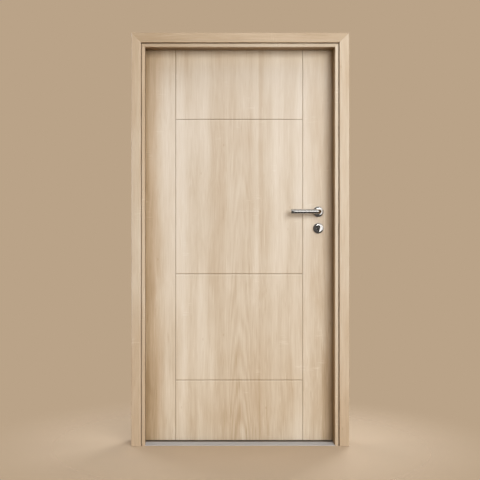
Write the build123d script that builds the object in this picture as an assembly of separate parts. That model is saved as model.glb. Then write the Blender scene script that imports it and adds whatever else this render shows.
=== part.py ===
"""A wood-grain PVC interior door in its frame, hung on three hinges, with a lever on both sides.

Sizes are in millimetres. X runs from the hinge jamb's wall face towards the latch side, Y runs
through the wall from the push side to the side the leaf opens to, and Z runs up from the floor.
"""

from build123d import *
import os

# Opening that is left between the side jambs and under the head.
clear_width = 954
clear_height = 2001

# Jambs: an L section with a seat for the leaf cut in its opening side.
jamb_depth = 135
jamb_thickness = 40
seat_depth = 17
arris = 1.2

# Casings: flat boards that cover the seam between jamb and wall on both faces of the wall.
casing_width = 48
casing_thickness = 14
casing_rounding = 3
front_margin = 20
back_margin = 25

# Tongue of the push-side casings, and the slot for it, which leaves a shadow gap beside the lip.
shadow_gap = 4
tongue_thickness = 6
tongue_length = 12
slot_depth = 15

# Leaf: two grooved skins on stiles and rails.
leaf_thickness = 40
skin_thickness = 6
hinge_gap = 5
latch_gap = 6.5
head_gap = 5
foot_gap = 5
stop_gap = 5
hinge_stile_width = 60
lock_stile_width = 150
rail_height = 70

# V grooves that divide each skin into panels.
groove_spacing = 650
low_groove_height = 314
middle_groove_height = 858
high_groove_height = 1648
groove_width = 6
groove_depth = 3.2
groove_overcut = 1

# Soft seal on the stop, with its stem in a kerf.
seal_width = 8
seal_line = 6
seal_play = 0.6
seal_rounding = 3.2
kerf_width = 2.4
kerf_depth = 6

# Sill plate on the floor between the jambs.
sill_thickness = 2

# Butt hinges with three knuckles on a fixed pin.
hinge_height = 100
hinge_inset = 190
plate_width = 30
plate_thickness = 2
knuckle_radius = 5.5
knuckle_height = 30
axis_offset = 8.5
pin_radius = 3
pin_play = 0.05
knuckle_play = 0.4
pin_cap_height = 3

# Lever on its round rose, and the square spindle that joins both levers.
lever_setback = 83
lever_height = 1176
lever_length = 144
lever_radius = 12.5
lever_reach = 54
elbow_radius = 17
rose_radius = 27
rose_thickness = 9
rose_rounding = 2.5
neck_play = 0.4
spindle_side = 8
spindle_grip = 14
spindle_hole_radius = 8

# Profile cylinder under the lever, in its own rose.
key_drop = 85
plug_radius = 8.5
cylinder_height = 33
cylinder_foot = 10
cylinder_play = 0.3
cylinder_proud = 1.5
keyway_width = 2.4
keyway_height = 9
keyway_depth = 12

# Lock front plate in the leaf's edge and strike plate in the latch jamb.
front_plate_width = 22
front_plate_height = 220
front_plate_thickness = 3
front_plate_rise = 70
strike_height = 170
strike_thickness = 2
plate_corner = 4
bolt_width = 12
latch_height = 26
dead_bolt_height = 30
bolt_length = 18
bolt_play = 0.3
strike_room = 2
strike_recess = 3.5
latch_stand = 1

# Positions that follow from the sizes above.
hinge_face = jamb_thickness
latch_face = jamb_thickness + clear_width
frame_width = clear_width + 2 * jamb_thickness
front = -jamb_depth / 2
back = jamb_depth / 2
leaf_front = back - leaf_thickness
leaf_middle = back - leaf_thickness / 2
stop_face = leaf_front - stop_gap
leaf_left = hinge_face - seat_depth + hinge_gap
leaf_right = latch_face + seat_depth - latch_gap
leaf_foot = sill_thickness + foot_gap
leaf_top = clear_height + seat_depth - head_gap
casing_edge = front_margin + casing_width
frame_height = clear_height + casing_edge
opening_middle = hinge_face + clear_width / 2
lever_x = leaf_right - lever_setback
key_height = lever_height - key_drop
plug_height = key_height + cylinder_height / 2 - plug_radius
hinge_x = hinge_face - seat_depth + hinge_gap / 2
hinge_y = back + axis_offset
latch_bolt_height = lever_height
dead_bolt_centre = key_height
front_plate_centre = lever_height + front_plate_rise - front_plate_height / 2
strike_centre = (latch_bolt_height + dead_bolt_centre) / 2
mid_leaf = Plane(origin=(0, leaf_middle, 0), x_dir=(1, 0, 0), z_dir=(0, 1, 0))
mitre = {
    "hinge": Plane(origin=(hinge_face, 0, clear_height), x_dir=(0, 1, 0), z_dir=(1, 0, 1)),
    "latch": Plane(origin=(latch_face, 0, clear_height), x_dir=(0, 1, 0), z_dir=(-1, 0, 1)),
}

nodes = {}
point_match = 0.01


def span(x0, x1, y0, y1, z0, z1):
    """A block between the given limits."""
    return Pos((x0 + x1) / 2, (y0 + y1) / 2, (z0 + z1) / 2) * Box(x1 - x0, y1 - y0, z1 - z0)


def section(points, soft, radius):
    """A flat outline whose corners listed in soft are rounded."""
    face = make_face(Polyline(*points, close=True))
    corners = [v for v in face.vertices() if any(abs(v.X - a) + abs(v.Y - b) < point_match for a, b in soft)]
    return fillet(corners, radius) if corners else face


def across(u, side):
    """The X of a line that lies u behind the face of the opening, on one side."""
    return hinge_face - u if side == "hinge" else latch_face + u


def upright(points, side, soft=(), radius=1, foot=0):
    """A section in (u, y) carried up one side of the opening and mitred at its head."""
    outline = [(across(u, side), y) for u, y in points]
    face = section(outline, [(across(u, side), y) for u, y in soft], radius)
    long = extrude(Pos(0, 0, foot) * face, amount=frame_height + casing_edge, dir=(0, 0, 1))
    return split(long, bisect_by=mitre[side], keep=Keep.BOTTOM)


def lintel(points, soft=(), radius=1):
    """The same section carried over the opening, between both mitres."""
    outline = [(y, clear_height + u) for u, y in points]
    face = section(outline, [(y, clear_height + u) for u, y in soft], radius)
    start = Plane.YZ.offset(-casing_edge)
    long = extrude(start * face, amount=frame_width + 2 * casing_edge, dir=(1, 0, 0))
    for plane in mitre.values():
        long = split(long, bisect_by=plane, keep=Keep.TOP)
    return long


def along_y(face, y0, y1):
    """An outline in (x, z) carried through the wall from y0 to y1."""
    start = Plane(origin=(0, y0, 0), x_dir=(1, 0, 0), z_dir=(0, -1, 0))
    return extrude(start * face, amount=y1 - y0, dir=(0, 1, 0))


def along_x(face, x0, x1):
    """An outline in (y, z) carried from x0 to x1."""
    return extrude(Plane.YZ.offset(x0) * face, amount=x1 - x0, dir=(1, 0, 0))


# Jambs and head, with the kerf for the seal in the stop and the slot for the casing in the lip.
kerf_in = seal_line - kerf_width / 2
kerf_out = seal_line + kerf_width / 2
slot_in = front_margin - shadow_gap
slot_out = front_margin + tongue_thickness
jamb_section = [
    (0, front),
    (0, stop_face),
    (kerf_in, stop_face),
    (kerf_in, stop_face - kerf_depth),
    (kerf_out, stop_face - kerf_depth),
    (kerf_out, stop_face),
    (seat_depth, stop_face),
    (seat_depth, back),
    (jamb_thickness, back),
    (jamb_thickness, front),
    (slot_out, front),
    (slot_out, front + slot_depth),
    (slot_in, front + slot_depth),
    (slot_in, front),
]
jamb_soft = [(0, front), (0, stop_face), (seat_depth, back)]
nodes["hinge_jamb"] = upright(jamb_section, "hinge", jamb_soft, arris)
nodes["latch_jamb"] = upright(jamb_section, "latch", jamb_soft, arris)
nodes["head_jamb"] = lintel(jamb_section, jamb_soft, arris)

# Casings: the push side's have a tongue in the jamb's slot, the other side's lie flat on the wall with a
# wider margin for the knuckles.
front_face = front - casing_thickness
back_face = back + casing_thickness
front_board = [
    (front_margin, front_face),
    (casing_edge, front_face),
    (casing_edge, front),
    (slot_out, front),
    (slot_out, front + tongue_length),
    (front_margin, front + tongue_length),
]
back_board = [(back_margin, back), (back_margin, back_face), (casing_edge, back_face), (casing_edge, back)]
for name, board, face_y, margin in (
    ("front_casing", front_board, front_face, front_margin),
    ("back_casing", back_board, back_face, back_margin),
):
    board_soft = [(margin, face_y), (casing_edge, face_y)]
    for side in ("hinge", "latch"):
        nodes[name + "_" + side + "_side"] = upright(board, side, board_soft, casing_rounding)
    nodes[name + "_head"] = lintel(board, board_soft, casing_rounding)

# Seal with a rounded bulb, its stem in the kerf.
bulb_in = seal_line - seal_width / 2
bulb_out = seal_line + seal_width / 2
bulb_tip = leaf_front - seal_play
seal_section = [
    (kerf_in, stop_face - kerf_depth),
    (kerf_in, stop_face),
    (bulb_in, stop_face),
    (bulb_in, bulb_tip),
    (bulb_out, bulb_tip),
    (bulb_out, stop_face),
    (kerf_out, stop_face),
    (kerf_out, stop_face - kerf_depth),
]
seal_soft = [(bulb_in, bulb_tip), (bulb_out, bulb_tip)]
for side in ("hinge", "latch"):
    nodes["seal_" + side + "_side"] = upright(seal_section, side, seal_soft, seal_rounding, sill_thickness)
nodes["seal_head"] = lintel(seal_section, seal_soft, seal_rounding)

# Sill plate, widened behind the stops to fill the leaf's seat.
sill_outline = [
    (hinge_face, front),
    (latch_face, front),
    (latch_face, stop_face),
    (latch_face + seat_depth, stop_face),
    (latch_face + seat_depth, back),
    (hinge_face - seat_depth, back),
    (hinge_face - seat_depth, stop_face),
    (hinge_face, stop_face),
]
sill_face = make_face(Polyline(*sill_outline, close=True))
nodes["sill_plate"] = extrude(sill_face, amount=sill_thickness, dir=(0, 0, 1))

# Front skin with its grooves and the holes for the spindle and the cylinder.
skin = span(leaf_left, leaf_right, leaf_front, leaf_front + skin_thickness, leaf_foot, leaf_top)
skin = fillet(skin.faces().sort_by(Axis.Y)[0].edges(), arris)
groove = [
    (-groove_width / 2, leaf_front),
    (-groove_width / 2, leaf_front - groove_overcut),
    (groove_width / 2, leaf_front - groove_overcut),
    (groove_width / 2, leaf_front),
    (0, leaf_front + groove_depth),
]
left_groove = opening_middle - groove_spacing / 2
right_groove = opening_middle + groove_spacing / 2
for groove_x in (left_groove, right_groove):
    standing = make_face(Polyline(*[(groove_x + w, y) for w, y in groove], close=True))
    skin -= extrude(Pos(0, 0, leaf_foot) * standing, amount=leaf_top - leaf_foot, dir=(0, 0, 1))
for groove_z in (low_groove_height, middle_groove_height, high_groove_height):
    lying = make_face(Polyline(*[(y, groove_z + w) for w, y in groove], close=True))
    skin -= along_x(lying, left_groove, right_groove)


def cylinder_outline(play):
    """The keyhole outline of a profile cylinder, grown by play."""
    foot_radius = cylinder_foot / 2
    foot_z = plug_height + plug_radius - cylinder_height + foot_radius
    neck_width = cylinder_foot + 2 * play
    neck = Pos(lever_x, (plug_height + foot_z) / 2) * Rectangle(neck_width, plug_height - foot_z)
    round_top = Pos(lever_x, plug_height) * Circle(plug_radius + play)
    round_foot = Pos(lever_x, foot_z) * Circle(foot_radius + play)
    return round_top + neck + round_foot


spindle_hole = along_y(Pos(lever_x, lever_height) * Circle(spindle_hole_radius), leaf_front, back)
cylinder_hole = along_y(cylinder_outline(cylinder_play), leaf_front, back)
skin = skin - spindle_hole - cylinder_hole
nodes["leaf_front_skin"] = skin
back_skin = mirror(skin, about=mid_leaf)

# Stiles and rails between the skins.
core_front = leaf_front + skin_thickness
core_back = back - skin_thickness
hinge_stile_edge = leaf_left + hinge_stile_width
lock_stile_edge = leaf_right - lock_stile_width
hinge_stile = span(leaf_left, hinge_stile_edge, core_front, core_back, leaf_foot, leaf_top)
lock_stile = span(lock_stile_edge, leaf_right, core_front, core_back, leaf_foot, leaf_top)
lock_stile = lock_stile - spindle_hole - cylinder_hole
nodes["leaf_top_rail"] = span(
    hinge_stile_edge, lock_stile_edge, core_front, core_back, leaf_top - rail_height, leaf_top
)
nodes["leaf_foot_rail"] = span(
    hinge_stile_edge, lock_stile_edge, core_front, core_back, leaf_foot, leaf_foot + rail_height
)

# Hinges: plates let in flush, knuckles behind the leaf's back face.
low_hinge = leaf_foot + hinge_inset
high_hinge = leaf_top - hinge_inset - hinge_height
frame_plate_x = (hinge_face - seat_depth - plate_thickness, hinge_face - seat_depth)
leaf_plate_x = (leaf_left, leaf_left + plate_thickness)
bore_radius = pin_radius + pin_play


def hinge_half(plate_x, foot, runs):
    """A plate with a knuckle, and the web that carries it, on each run of its height."""
    half = span(*plate_x, back - plate_width, back, foot, foot + hinge_height)
    for low, high in runs:
        half += span(*plate_x, back, hinge_y, low, high)
        half += Pos(hinge_x, hinge_y, (low + high) / 2) * Cylinder(knuckle_radius, high - low)
    bore = Pos(hinge_x, hinge_y, foot + hinge_height / 2) * Cylinder(bore_radius, hinge_height)
    return half - bore


for name, foot in (
    ("low_hinge", low_hinge),
    ("middle_hinge", (low_hinge + high_hinge) / 2),
    ("high_hinge", high_hinge),
):
    top = foot + hinge_height
    frame_runs = [(foot, foot + knuckle_height), (top - knuckle_height, top)]
    leaf_runs = [(foot + knuckle_height + knuckle_play, top - knuckle_height - knuckle_play)]
    nodes[name + "_frame_plate"] = hinge_half(frame_plate_x, foot, frame_runs)
    nodes[name + "_leaf_plate"] = hinge_half(leaf_plate_x, foot, leaf_runs)
    pin = Pos(hinge_x, hinge_y, foot + hinge_height / 2) * Cylinder(pin_radius, hinge_height)
    for cap_z in (foot - pin_cap_height / 2, top + pin_cap_height / 2):
        pin += Pos(hinge_x, hinge_y, cap_z) * Cylinder(knuckle_radius - arris, pin_cap_height)
    nodes[name + "_pin"] = pin
    nodes["hinge_jamb"] -= span(*frame_plate_x, back - plate_width, back, foot, top)
    leaf_recess = span(*leaf_plate_x, back - plate_width, back, foot, top)
    hinge_stile -= leaf_recess
    back_skin -= leaf_recess
nodes["leaf_hinge_stile"] = hinge_stile
nodes["leaf_back_skin"] = back_skin

# Lock front plate with its two bolts drawn back into the leaf.
plate_outline = Pos(leaf_middle, front_plate_centre) * RectangleRounded(
    front_plate_width, front_plate_height, plate_corner
)
front_plate = along_x(plate_outline, leaf_right - front_plate_thickness, leaf_right)
lock_stile -= front_plate
for name, centre, height, stand in (
    ("latch_bolt", latch_bolt_height, latch_height, latch_stand),
    ("dead_bolt", dead_bolt_centre, dead_bolt_height, 0),
):
    half_width = bolt_width / 2
    bolt = span(
        leaf_right - bolt_length, leaf_right + stand, leaf_middle - half_width, leaf_middle + half_width,
        centre - height / 2, centre + height / 2,
    )
    nodes[name] = chamfer(bolt.edges().filter_by(Axis.Z).group_by(Axis.X)[-1], bolt_play)
    room_side = half_width + bolt_play
    room_rise = height / 2 + bolt_play
    room = span(
        leaf_right - bolt_length, leaf_right, leaf_middle - room_side, leaf_middle + room_side,
        centre - room_rise, centre + room_rise,
    )
    front_plate -= room
    lock_stile -= room
nodes["lock_front_plate"] = front_plate
nodes["leaf_lock_stile"] = lock_stile

# Strike plate, flush in the latch jamb's seat, over a shallow recess for each bolt.
strike_x = latch_face + seat_depth
strike_outline = Pos(leaf_middle, strike_centre) * RectangleRounded(
    front_plate_width, strike_height, plate_corner
)
strike = along_x(strike_outline, strike_x, strike_x + strike_thickness)
nodes["latch_jamb"] -= strike
for centre, height in ((latch_bolt_height, latch_height), (dead_bolt_centre, dead_bolt_height)):
    recess_side = bolt_width / 2 + strike_room
    recess_rise = height / 2 + strike_room
    recess = span(
        strike_x, strike_x + strike_recess, leaf_middle - recess_side, leaf_middle + recess_side,
        centre - recess_rise, centre + recess_rise,
    )
    strike -= recess
    nodes["latch_jamb"] -= recess
nodes["strike_plate"] = strike

# Roses on the push side; the other side repeats them.
rose_face = leaf_front - rose_thickness
lever_rose = along_y(Pos(lever_x, lever_height) * Circle(rose_radius), rose_face, leaf_front)
lever_rose = fillet(lever_rose.faces().sort_by(Axis.Y)[0].edges(), rose_rounding)
neck_bore = along_y(Pos(lever_x, lever_height) * Circle(lever_radius + neck_play), rose_face, leaf_front)
lever_rose -= neck_bore
key_rose = along_y(Pos(lever_x, key_height) * Circle(rose_radius), rose_face, leaf_front)
key_rose = fillet(key_rose.faces().sort_by(Axis.Y)[0].edges(), rose_rounding)
key_rose -= along_y(cylinder_outline(cylinder_play), rose_face, leaf_front)

# Lever: a round bar that comes out of the rose, turns at the elbow and runs towards the hinges.
neck_foot = leaf_front - neck_play
grip_y = leaf_front - lever_reach
path = FilletPolyline(
    (lever_x, neck_foot, lever_height),
    (lever_x, grip_y, lever_height),
    (lever_x - lever_length, grip_y, lever_height),
    radius=elbow_radius,
)
bar_start = Plane(origin=(lever_x, neck_foot, lever_height), x_dir=(1, 0, 0), z_dir=(0, -1, 0))
lever = sweep(bar_start * Circle(lever_radius), path=path)
lever = fillet(lever.faces().sort_by(Axis.X)[0].edges(), arris)
half_spindle = spindle_side / 2
spindle = span(
    lever_x - half_spindle, lever_x + half_spindle, leaf_front - spindle_grip, back + spindle_grip,
    lever_height - half_spindle, lever_height + half_spindle,
)
lever -= spindle
for name, front_piece in (("lever_rose", lever_rose), ("key_rose", key_rose), ("lever", lever)):
    nodes["front_" + name] = front_piece
    nodes["back_" + name] = mirror(front_piece, about=mid_leaf)
nodes["lever_spindle"] = spindle

# Profile cylinder through the leaf, with a keyway at each end.
cylinder_reach = rose_thickness + cylinder_proud
cylinder = along_y(cylinder_outline(0), leaf_front - cylinder_reach, back + cylinder_reach)
for end in (leaf_front - cylinder_reach, back + cylinder_reach - keyway_depth):
    slot = Pos(lever_x, plug_height) * Rectangle(keyway_width, keyway_height)
    cylinder -= along_y(slot, end, end + keyway_depth)
nodes["lock_cylinder"] = cylinder

os.makedirs("parts", exist_ok=True)
for name, shape in nodes.items():
    export_step(shape, "parts/" + name + ".step")
    print(name, len(shape.solids()), round(shape.volume))
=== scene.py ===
# %% [markdown]
# # A wood-grain interior door in its frame
# The CAD part gives every solid of the door its true size. This file dresses it: the grooved and foiled
# leaf, the casings, the turned and bent steel of the handles, the hinges with their screws, and the
# finishes of all of them. The CAD part is loaded first.

# %% Load the door
import math

import bmesh
import bpy
import numpy as np
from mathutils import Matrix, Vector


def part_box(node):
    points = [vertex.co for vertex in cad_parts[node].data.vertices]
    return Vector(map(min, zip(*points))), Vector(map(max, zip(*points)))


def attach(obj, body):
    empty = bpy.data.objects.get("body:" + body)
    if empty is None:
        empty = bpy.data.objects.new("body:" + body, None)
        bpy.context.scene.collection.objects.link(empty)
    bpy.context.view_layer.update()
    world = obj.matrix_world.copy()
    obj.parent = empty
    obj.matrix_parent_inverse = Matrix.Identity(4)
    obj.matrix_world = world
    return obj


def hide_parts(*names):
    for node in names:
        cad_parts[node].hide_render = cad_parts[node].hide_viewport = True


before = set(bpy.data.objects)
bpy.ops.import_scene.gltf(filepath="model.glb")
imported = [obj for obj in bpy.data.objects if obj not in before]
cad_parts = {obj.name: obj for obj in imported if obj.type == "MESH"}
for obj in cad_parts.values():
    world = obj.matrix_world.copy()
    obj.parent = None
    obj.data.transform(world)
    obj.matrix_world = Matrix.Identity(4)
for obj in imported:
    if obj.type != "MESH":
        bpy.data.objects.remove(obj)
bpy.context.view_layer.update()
scene = bpy.context.scene
scene.view_settings.view_transform = "Standard"

# %% [markdown]
# ## Places taken from the solids
# A fitted piece takes its place from the solid it dresses, so that it still fits when the CAD part
# changes. The leaf, the jambs, the roses and the lever are read off their boxes here, in metres.


# %% Measure the solids
def limits(node):
    """The low and high corner of a solid, as two arrays of x, y and z."""
    low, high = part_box(node)
    return np.array(low), np.array(high)


skin_low, skin_high = limits("leaf_front_skin")
back_low, back_high = limits("leaf_back_skin")
leaf_front, core_front = skin_low[1], skin_high[1]
core_back, leaf_back = back_low[1], back_high[1]
leaf_middle = (leaf_front + leaf_back) / 2
jamb_low, jamb_high = limits("hinge_jamb")
latch_low, latch_high = limits("latch_jamb")
head_low, head_high = limits("head_jamb")
hinge_face, latch_face, head_face = jamb_high[0], latch_low[0], head_low[2]
jamb_front, jamb_back = jamb_low[1], jamb_high[1]
opening_x = (hinge_face + latch_face) / 2
rose_low, rose_high = limits("front_lever_rose")
key_low, key_high = limits("front_key_rose")
lever_low, lever_high = limits("front_lever")
handle_x = (rose_low[0] + rose_high[0]) / 2
handle_z = (rose_low[2] + rose_high[2]) / 2
key_z = (key_low[2] + key_high[2]) / 2
rose_radius = (rose_high[0] - rose_low[0]) / 2
rose_depth = rose_high[1] - rose_low[1]
bar_radius = (lever_high[2] - lever_low[2]) / 2
print("leaf", np.round([skin_low, skin_high], 4).tolist(), "handle", round(handle_x, 4), round(handle_z, 4))

# %% [markdown]
# ## From formulas to meshes
# Each new piece is a grid of points worked out from two parameters. Neighbours on the grid become
# four-cornered faces. Where a grid closes on itself or shrinks to a pole, the points that fall together
# are merged, and then the faces are turned outwards. Edges that bend sharply stay crisp, the rest shade
# smoothly.

# %% Grid and piece helpers
merge_within = 2e-6


def grid_faces(rows, columns, ring, loop):
    """Corner numbers of the faces between neighbours; ring joins the columns' ends, loop the rows' ends."""
    row = np.arange(rows if loop else rows - 1)[:, None]
    column = np.arange(columns if ring else columns - 1)[None, :]
    here, below = row * columns, (row + 1) % rows * columns
    beside = (column + 1) % columns
    corners = [here + column, here + beside, below + beside, below + column]
    return np.stack(corners, axis=-1).reshape(-1, 4)


def piece(name, surfaces, finish, body, stands_for=(), crisp=32):
    """One mesh from several grids, each given as (points, ring, loop), on a body and with its finish."""
    corners, faces, used = [], [], 0
    for points, ring, loop in surfaces:
        rows, columns = points.shape[:2]
        corners.append(points.reshape(-1, 3))
        faces.append(grid_faces(rows, columns, ring, loop) + used)
        used += rows * columns
    mesh = bpy.data.meshes.new(name)
    mesh.from_pydata(np.concatenate(corners), [], np.concatenate(faces))
    work = bmesh.new()
    work.from_mesh(mesh)
    bmesh.ops.remove_doubles(work, verts=work.verts, dist=merge_within)
    bmesh.ops.recalc_face_normals(work, faces=work.faces)
    work.to_mesh(mesh)
    work.free()
    mesh.polygons.foreach_set("use_smooth", np.ones(len(mesh.polygons), dtype=bool))
    mesh.set_sharp_from_angle(angle=math.radians(crisp))
    mesh.materials.append(finish)
    made = bpy.data.objects.new(name, mesh)
    scene.collection.objects.link(made)
    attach(made, body)
    if stands_for:
        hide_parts(*stands_for)
    print(name, len(mesh.polygons), "faces")
    return made


print("points closer than", merge_within, "m are merged")

# %% [markdown]
# ## Shader shorthand
# The finishes are all worked out in shader nodes. A finish is mostly sums and products of values that
# change over the surface, so each kind of node gets a short helper here. A finish then reads like the sum
# that it is.


# %% Values and colours in nodes
def paint(red, green, blue):
    """A screen colour of 0 to 255 as linear light: a straight foot up to 0.04, then a power of 2.4."""
    screen = np.array([red, green, blue]) / 255
    linear = np.where(screen <= 0.04045, screen / 12.92, ((screen + 0.055) / 1.055) ** 2.4)
    return (*linear.tolist(), 1.0)


def feed(tree, socket, value):
    """Links another node's output to a socket, or sets a plain number, place or colour on it."""
    if isinstance(value, bpy.types.NodeSocket):
        tree.links.new(value, socket)
    else:
        socket.default_value = value


def calc(tree, operation, *values, clamp=False):
    """One Math node; its values are numbers or other nodes' outputs."""
    made = tree.nodes.new("ShaderNodeMath")
    made.operation = operation
    made.use_clamp = clamp
    for socket, value in zip(made.inputs, values):
        feed(tree, socket, value)
    return made.outputs[0]


def times(tree, first, second):
    """The product of two values."""
    return calc(tree, "MULTIPLY", first, second)


def added(tree, level, mask, amount, clamp=False):
    """A level plus an amount times a mask."""
    return calc(tree, "MULTIPLY_ADD", mask, amount, level, clamp=clamp)


def flipped(tree, value):
    """One minus a value."""
    return calc(tree, "SUBTRACT", 1.0, value)


def step(tree, value, low, high):
    """0 below low, 1 above high, and a smooth rise between them; falling where low is the larger one."""
    made = tree.nodes.new("ShaderNodeMapRange")
    made.interpolation_type = "SMOOTHSTEP"
    made.inputs["From Min"].default_value = low
    made.inputs["From Max"].default_value = high
    tree.links.new(value, made.inputs["Value"])
    return made.outputs["Result"]


def bump_at(tree, place, middle, reach):
    """1 within about a third of a reach from a middle, falling smoothly to 0 at the reach on both sides."""
    off = calc(tree, "ABSOLUTE", calc(tree, "SUBTRACT", place, middle))
    return flipped(tree, step(tree, off, reach * 0.35, reach))


def ramp(tree, value, stops):
    """A colour ramp over a value; stops are pairs of position and colour."""
    made = tree.nodes.new("ShaderNodeValToRGB")
    while len(made.color_ramp.elements) < len(stops):
        made.color_ramp.elements.new(0.5)
    for element, (position, colour) in zip(made.color_ramp.elements, stops):
        element.position = position
        element.color = colour
    tree.links.new(value, made.inputs[0])
    return made.outputs[0]


def mixed(tree, share, first, second, way="MIX"):
    """A colour between two by a share, or the first one changed by the second in another way of mixing."""
    made = tree.nodes.new("ShaderNodeMix")
    made.data_type = "RGBA"
    made.blend_type = way
    for name, value in (("Factor", share), ("A", first), ("B", second)):
        feed(tree, made.inputs[name], value)
    return made.outputs["Result"]


print("a middle grey of 128 is", round(paint(128, 128, 128)[0], 3), "in linear light")


# %% Places and noise in nodes
def parted(tree, place):
    """The X, Y and Z of a place, by name."""
    made = tree.nodes.new("ShaderNodeSeparateXYZ")
    tree.links.new(place, made.inputs[0])
    return made.outputs


def turned(tree, place, turn=(0, 0, 0), shift=(0, 0, 0)):
    """A place turned about the axes, in radians, and then shifted."""
    made = tree.nodes.new("ShaderNodeMapping")
    made.inputs["Location"].default_value = shift
    made.inputs["Rotation"].default_value = turn
    tree.links.new(place, made.inputs["Vector"])
    return made.outputs["Vector"]


def stretched(tree, place, stretch, shift=(0, 0, 0)):
    """A place times a stretch along each axis, plus a shift."""
    made = tree.nodes.new("ShaderNodeVectorMath")
    made.operation = "MULTIPLY_ADD"
    for socket, value in zip(made.inputs, (place, stretch, shift)):
        feed(tree, socket, value)
    return made.outputs[0]


def noise(tree, place, detail=2.0, roughness=0.5, colour=False):
    """Soft noise of one unit's size over a place, about 0.5 on average."""
    made = tree.nodes.new("ShaderNodeTexNoise")
    made.inputs["Scale"].default_value = 1.0
    made.inputs["Detail"].default_value = detail
    made.inputs["Roughness"].default_value = roughness
    tree.links.new(place, made.inputs["Vector"])
    return made.outputs["Color" if colour else "Fac"]


def marked(tree, name):
    """A value that the mesh itself carries at each point."""
    made = tree.nodes.new("ShaderNodeAttribute")
    made.attribute_name = name
    return made.outputs["Fac"]


print("place and noise helpers ready")


# %% Groups and materials
def effect(name, inputs, outputs):
    """An empty shader node group with named sockets, and its input and output nodes."""
    tree = bpy.data.node_groups.new(name, "ShaderNodeTree")
    for socket, kind, start in inputs:
        made = tree.interface.new_socket(name=socket, in_out="INPUT", socket_type="NodeSocket" + kind)
        if start is not None:
            made.default_value = start
    for socket, kind in outputs:
        tree.interface.new_socket(name=socket, in_out="OUTPUT", socket_type="NodeSocket" + kind)
    return tree, tree.nodes.new("NodeGroupInput").outputs, tree.nodes.new("NodeGroupOutput").inputs


def placed(tree, group, **values):
    """A group put into a tree; its values are numbers or outputs, named with _ for a space."""
    made = tree.nodes.new("ShaderNodeGroup")
    made.node_tree = group
    for key, value in values.items():
        feed(tree, made.inputs[key.replace("_", " ")], value)
    return made.outputs


def finish_start(name):
    """A new material with its own tree, its Principled shader and the place on the piece."""
    made = bpy.data.materials.new(name)
    made.use_nodes = True
    tree = made.node_tree
    shader = tree.nodes["Principled BSDF"]
    place = tree.nodes.new("ShaderNodeTexCoord").outputs["Object"]
    return made, tree, shader, place


def bumped(tree, shader, height, distance, strength):
    """Tilts the shader's normal by a height, of which 1 stands for a distance in metres."""
    bump = tree.nodes.new("ShaderNodeBump")
    bump.inputs["Distance"].default_value = distance
    bump.inputs["Strength"].default_value = strength
    tree.links.new(height, bump.inputs["Height"])
    tree.links.new(bump.outputs["Normal"], shader.inputs["Normal"])


print("group and material helpers ready")

# %% [markdown]
# ## The oak print
# The door isn't timber: a printed PVC foil is pressed over board. The print is a pale oak with broad soft
# clouds and bands, finer streaks, hair-fine fibre, short dark pores, a few pin knots, and pale flecks
# across the grain where the rays are cut. A picture of timber could be wrapped on, but noise stretched
# along the grain gives the same look at every scale and needs no picture. It is one group, because the
# leaf, the casings, the jambs and the leaf's edges all wear it. Each sets its own tone, contrast and
# warmth.

# %% Oak print group
oak_print, oak_in, oak_out = effect(
    "oak_print",
    [
        ("Place", "Vector", None),
        ("Tone", "Float", 0.5),
        ("Contrast", "Float", 1.0),
        ("Warmth", "Float", 0.0),
    ],
    [("Colour", "Color"), ("Roughness", "Float"), ("Height", "Float")],
)
sway_size, sway_reach = (4, 4, 1.1), (0.045, 0.045, 0)
sway = noise(oak_print, stretched(oak_print, oak_in["Place"], sway_size), colour=True)
swayed = stretched(oak_print, sway, sway_reach, oak_in["Place"])


def print_noise(stretch, shift=(0, 0, 0), detail=2.0, roughness=0.5, place=swayed):
    """Noise about 0, stretched along the grain, which sways from side to side as in a real board."""
    made = noise(oak_print, stretched(oak_print, place, stretch, shift), detail, roughness)
    return calc(oak_print, "SUBTRACT", made, 0.5)


print("the grain sways over", sway_reach[0], "m")

# %% Oak print layers
clouds = print_noise((6.5, 6.5, 1.5), detail=3.0, roughness=0.6)
bands = print_noise((22, 22, 0.5), (3.1, 0, 7.7))
streaks = print_noise((105, 105, 4.0), (9.4, 2.2, 0.3), detail=3.0)
fibre = print_noise((420, 420, 8), (1.4, 7.2, 5.3))
pale_hairs = step(oak_print, print_noise((230, 230, 7), (6.6, 0, 1.2), detail=1.0), 0.08, 0.24)
dark_hairs = step(oak_print, print_noise((300, 300, 10), (0, 3.3, 8.2), detail=1.0), 0.10, 0.26)
pores = step(oak_print, print_noise((760, 760, 24), detail=1.0), 0.16, 0.30)
ray_patch = step(oak_print, print_noise((8, 8, 7), (0, 5.5, 0), place=oak_in["Place"]), 0.11, 0.2)
rays = step(oak_print, print_noise((17, 17, 150), (1.7, 0, 0), place=oak_in["Place"]), 0.05, 0.15)
flecks = times(oak_print, ray_patch, rays)
print("print layers in", len(oak_print.nodes), "nodes")

# %% [markdown]
# The knots are pin-sized. Voronoi cells, longer along the grain, are dealt a random number each. The
# cells with the highest numbers get one knot at their centre, so knots never crowd and most of the print
# has none.

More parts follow.
